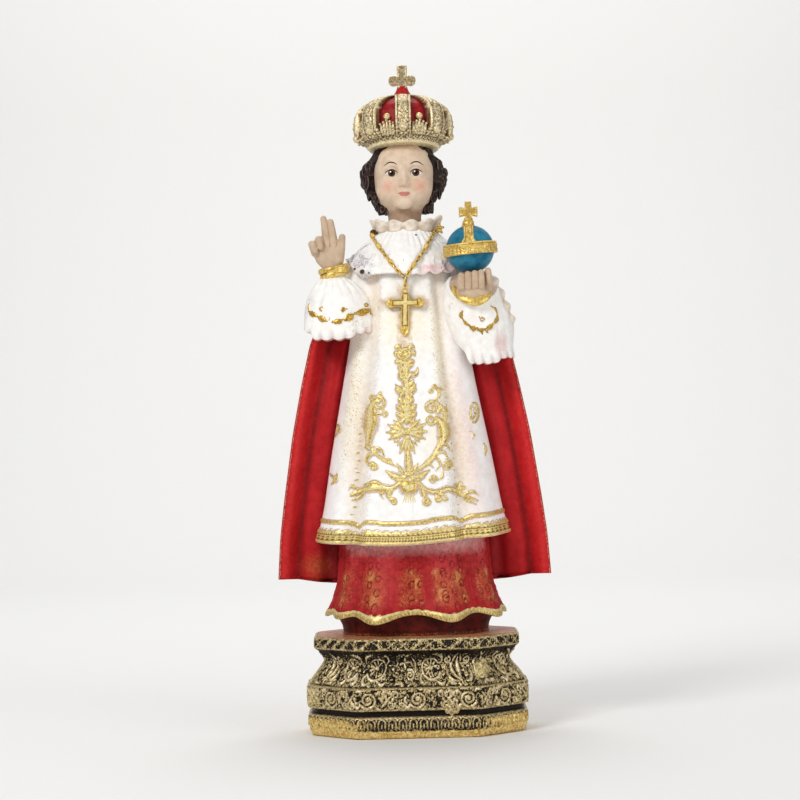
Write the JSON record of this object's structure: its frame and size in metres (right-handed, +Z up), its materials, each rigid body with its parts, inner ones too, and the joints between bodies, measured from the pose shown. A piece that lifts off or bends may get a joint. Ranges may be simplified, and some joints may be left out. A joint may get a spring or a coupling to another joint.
{
  "type": "religious statuette",
  "caption": "Crowned child figure in a white gown and red mantle, one hand raised and an orb in the other, on an eight-sided plinth; cast in one piece.",
  "frame": {"origin": "centre of the plinth's underside", "axes": "+Z up, +X to the right seen from the front, and the figure faces -Y"},
  "size_m": [0.1232, 0.0753, 0.3],
  "materials": {
    "painted_resin": "hand-painted satin over cast resin"
  },
  "bodies": {
    "root": {"statue": "painted_resin"}
  },
  "joints": []
}
